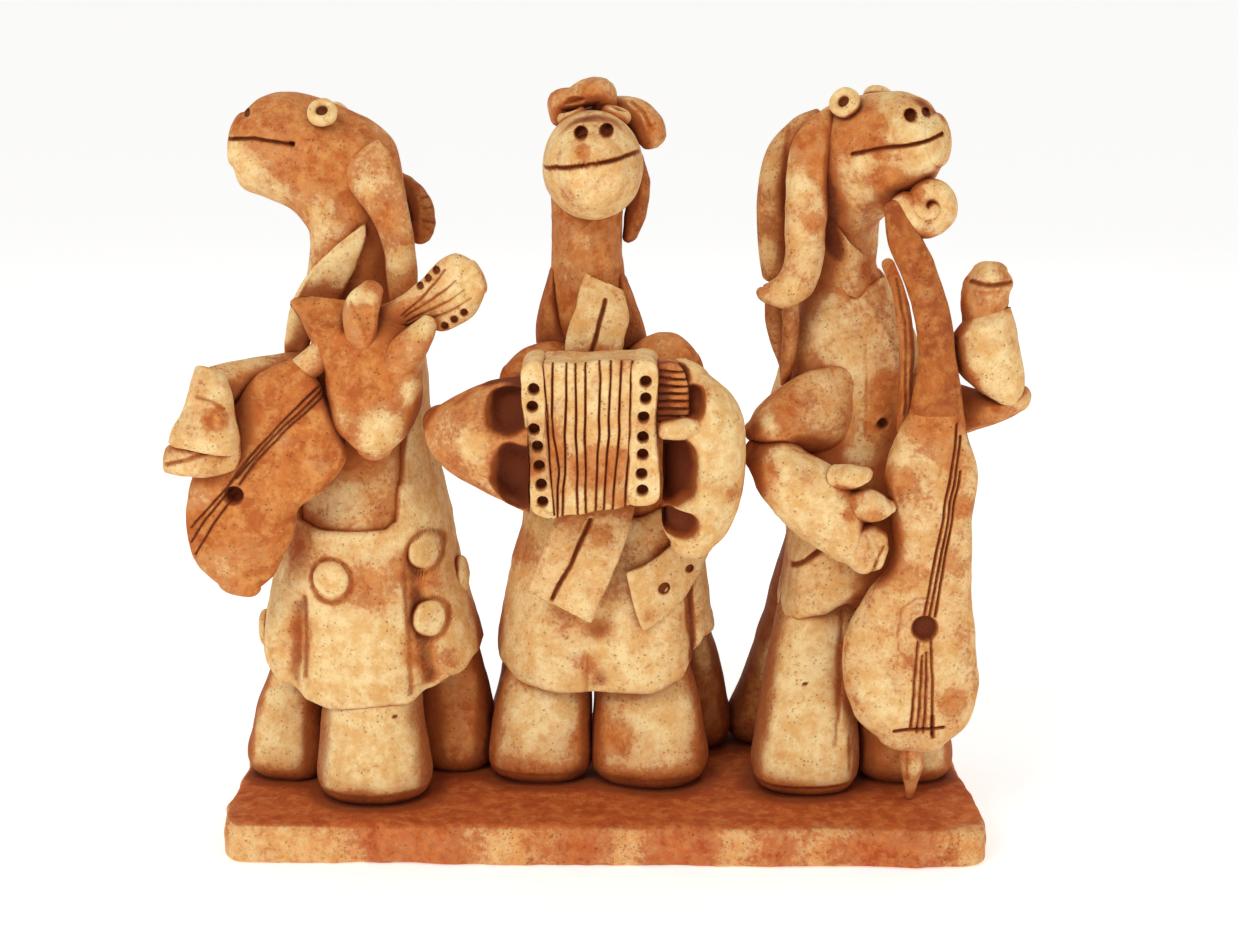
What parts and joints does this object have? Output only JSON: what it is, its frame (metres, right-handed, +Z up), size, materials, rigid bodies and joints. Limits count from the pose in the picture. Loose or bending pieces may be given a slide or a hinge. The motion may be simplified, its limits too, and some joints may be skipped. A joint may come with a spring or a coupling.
{
  "type": "clay musician group figurine",
  "caption": "Three long-necked floppy-eared clay animals playing a lute, an accordion and a double bass, joined to a flat clay slab.",
  "frame": {"origin": "middle of the slab's flat underside", "axes": "+X along the slab to the double bass player's end, +Y to the back, +Z up; the figures face -Y"},
  "size_m": [0.2804, 0.114, 0.2535],
  "materials": {
    "slip_rubbed_clay": "fired terracotta with a rubbed cream slip, matte, patchy",
    "bare_clay": "bare fired orange clay, matte, pored",
    "washed_clay": "fired clay under a dark brown-red wash, matte"
  },
  "bodies": {
    "root": {"base_slab": "bare_clay", "lute_player_body": "bare_clay", "lute_player_head": "bare_clay", "lute_player_near_ear": "slip_rubbed_clay", "lute_player_far_ear": "washed_clay", "lute_player_eyes": "slip_rubbed_clay", "lute_player_collar": "slip_rubbed_clay", "lute_player_coat": "slip_rubbed_clay", "lute_player_buttons": "slip_rubbed_clay", "lute_player_strumming_arm": "bare_clay", "lute_player_strumming_hand": "slip_rubbed_clay", "lute_player_fretting_arm": "bare_clay", "lute_player_fretting_hand": "slip_rubbed_clay", "lute_player_front_leg": "slip_rubbed_clay", "lute_player_left_leg": "slip_rubbed_clay", "lute_player_right_leg": "bare_clay", "lute_player_back_leg": "washed_clay", "lute_body": "slip_rubbed_clay", "lute_neck": "slip_rubbed_clay", "accordion_player_body": "bare_clay", "accordion_player_head": "slip_rubbed_clay", "accordion_player_hair_curl": "slip_rubbed_clay", "accordion_player_right_ear": "slip_rubbed_clay", "accordion_player_left_ear": "washed_clay", "accordion_player_eyes": "slip_rubbed_clay", "accordion_player_collar": "washed_clay", "accordion_player_tie": "slip_rubbed_clay", "accordion_player_coat": "slip_rubbed_clay", "accordion_player_pocket_flap": "slip_rubbed_clay", "accordion_player_shoulders": "bare_clay", "accordion_player_left_sleeve": "slip_rubbed_clay", "accordion_player_right_sleeve": "slip_rubbed_clay", "accordion_player_hands": "slip_rubbed_clay", "accordion_player_left_leg": "slip_rubbed_clay", "accordion_player_right_leg": "slip_rubbed_clay", "accordion_player_back_legs": "washed_clay", "accordion_bellows": "slip_rubbed_clay", "accordion_left_panel": "slip_rubbed_clay", "accordion_right_panel": "slip_rubbed_clay", "accordion_keyboard": "slip_rubbed_clay", "bass_player_body": "bare_clay", "bass_player_head": "bare_clay", "bass_player_near_ear": "slip_rubbed_clay", "bass_player_far_ear": "washed_clay", "bass_player_eyes": "slip_rubbed_clay", "bass_player_hair_strands": "washed_clay", "bass_player_coat": "slip_rubbed_clay", "bass_player_lapel": "bare_clay", "bass_player_near_sleeve": "slip_rubbed_clay", "bass_player_near_arm": "slip_rubbed_clay", "bass_player_upper_arm": "bare_clay", "bass_player_raised_sleeve": "slip_rubbed_clay", "bass_player_fist": "bare_clay", "bass_player_front_leg": "slip_rubbed_clay", "bass_player_right_leg": "bare_clay", "bass_player_back_legs": "washed_clay", "bass_body": "slip_rubbed_clay", "bass_neck": "bare_clay", "bass_scroll": "slip_rubbed_clay", "bass_endpin": "slip_rubbed_clay"}
  },
  "joints": []
}
